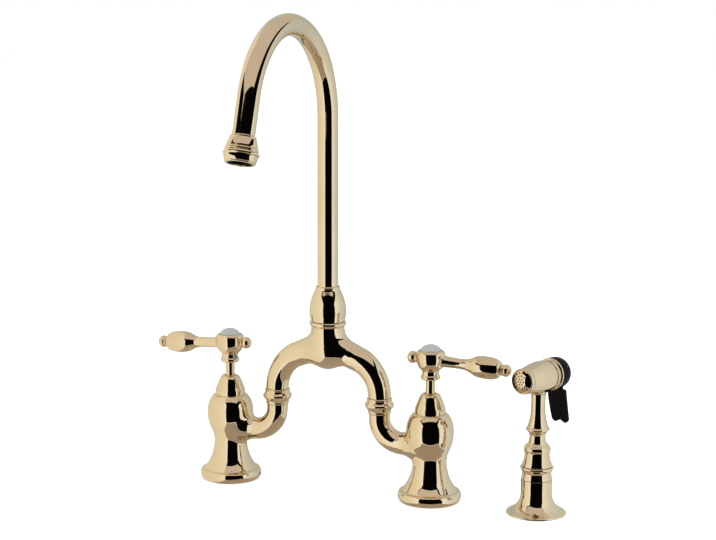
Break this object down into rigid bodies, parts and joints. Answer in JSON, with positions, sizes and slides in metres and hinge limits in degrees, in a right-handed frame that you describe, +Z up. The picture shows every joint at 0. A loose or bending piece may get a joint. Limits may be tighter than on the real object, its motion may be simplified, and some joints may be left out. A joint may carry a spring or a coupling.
{
  "type": "bridge kitchen faucet",
  "caption": "Bridge kitchen faucet in polished brass: high gooseneck spout, porcelain-topped lever handles, and a separate side spray with a thumb lever.",
  "frame": {"origin": "bottom centre of the whole part's box, on the plane of the sink deck; the spout's axis is 26.0 mm towards -X and 78.1 mm towards +Y from it, the hot and cold valve axes 101.6 mm each side of the spout's axis along X", "axes": "+X along the bridge from the hot valve to the cold valve and the side spray, -Y towards the user, where the spout points at rest, +Z up from the sink deck"},
  "size_m": [0.4078, 0.2333, 0.4424],
  "materials": {
    "polished_brass": "polished, mirror bright",
    "cast_brass": "machined, unpolished",
    "porcelain_white": "glazed",
    "ceramic_disc": "lapped",
    "seal_rubber": "moulded",
    "fibre": "pressed fibre",
    "nylon_white": "moulded",
    "black_plastic": "moulded, gloss",
    "stainless": "plain"
  },
  "bodies": {
    "faucet_base": {"valve_body_hot": "polished_brass", "deck_gasket_hot": "seal_rubber", "seat_seal_hot": "seal_rubber", "cartridge_housing_hot": "cast_brass", "fixed_disc_hot": "ceramic_disc", "bonnet_hot": "polished_brass", "union_ring_hot": "polished_brass", "union_washer_hot": "fibre", "valve_body_cold": "polished_brass", "deck_gasket_cold": "seal_rubber", "seat_seal_cold": "seal_rubber", "cartridge_housing_cold": "cast_brass", "fixed_disc_cold": "ceramic_disc", "bonnet_cold": "polished_brass", "union_ring_cold": "polished_brass", "union_washer_cold": "fibre", "bridge": "polished_brass", "spout_nut": "polished_brass", "spout_thrust_washer": "nylon_white", "spray_base": "polished_brass", "spray_deck_gasket": "seal_rubber", "spray_guide_collar": "polished_brass", "spray_guide_liner": "nylon_white"},
    "hot_handle": {"moving_disc_hot": "ceramic_disc", "stem_hot": "cast_brass", "handle_hot": "polished_brass", "lever_tip_hot": "polished_brass", "hub_ball_hot": "polished_brass", "handle_screw_hot": "stainless", "porcelain_button_hot": "porcelain_white", "set_screw_hot": "stainless"},
    "cold_handle": {"moving_disc_cold": "ceramic_disc", "stem_cold": "cast_brass", "handle_cold": "polished_brass", "lever_tip_cold": "polished_brass", "hub_ball_cold": "polished_brass", "handle_screw_cold": "stainless", "porcelain_button_cold": "porcelain_white", "set_screw_cold": "stainless"},
    "spout": {"spout_bushing": "cast_brass", "spout_o_ring_lower": "seal_rubber", "spout_o_ring_upper": "seal_rubber", "spout_tube": "polished_brass", "aerator_shell": "polished_brass", "aerator_gasket": "seal_rubber", "aerator_screen": "stainless", "aerator_insert": "black_plastic"},
    "spray_hose_end": {"hose_connector": "cast_brass"},
    "spray": {"spray_wand": "polished_brass", "spray_head": "polished_brass", "nozzle_ring": "polished_brass", "spray_face": "polished_brass", "rear_cap": "black_plastic", "lever_pin": "stainless", "plunger_spring": "stainless"},
    "spray_trigger": {"spray_lever": "black_plastic"},
    "spray_plunger": {"valve_plunger": "cast_brass", "plunger_seal": "seal_rubber"}
  },
  "joints": [
    {"name": "hot_handle_turn", "type": "hinge", "parent": "faucet_base", "child": "hot_handle", "pos_m": [-0.1276, 0.0781, 0.1], "axis": [0, 0, 1], "range_deg": [0, 90]},
    {"name": "cold_handle_turn", "type": "hinge", "parent": "faucet_base", "child": "cold_handle", "pos_m": [0.0756, 0.0781, 0.1], "axis": [0, 0, -1], "range_deg": [0, 90]},
    {"name": "spout_swivel", "type": "hinge", "parent": "faucet_base", "child": "spout", "pos_m": [-0.026, 0.0781, 0.148], "axis": [0, 0, 1], "continuous": true},
    {"name": "spray_lift", "type": "slide", "parent": "faucet_base", "child": "spray_hose_end", "axis": [0, 0, 1], "range_m": [0, 0.06]},
    {"name": "spray_turn", "type": "hinge", "parent": "spray_hose_end", "child": "spray", "pos_m": [0.1772, 0.0781, 0.043], "axis": [0, 0, 1], "range_deg": [-20, 60]},
    {"name": "spray_trigger_press", "type": "hinge", "parent": "spray", "child": "spray_trigger", "pos_m": [0.18663, 0.10457, 0.1305], "axis": [-0.9421, 0.3355, 0], "range_deg": [0, 7.5], "stiffness_Nm_per_rad": 0.3},
    {"name": "spray_plunger_slide", "type": "slide", "parent": "spray", "child": "spray_plunger", "axis": [-0.3355, -0.9421, 0], "range_m": [0, 0.0009]}
  ],
  "couplings": [
    {"joint": "spray_plunger_slide", "follows": "spray_trigger_press", "m_per_rad": 0.0063}
  ]
}
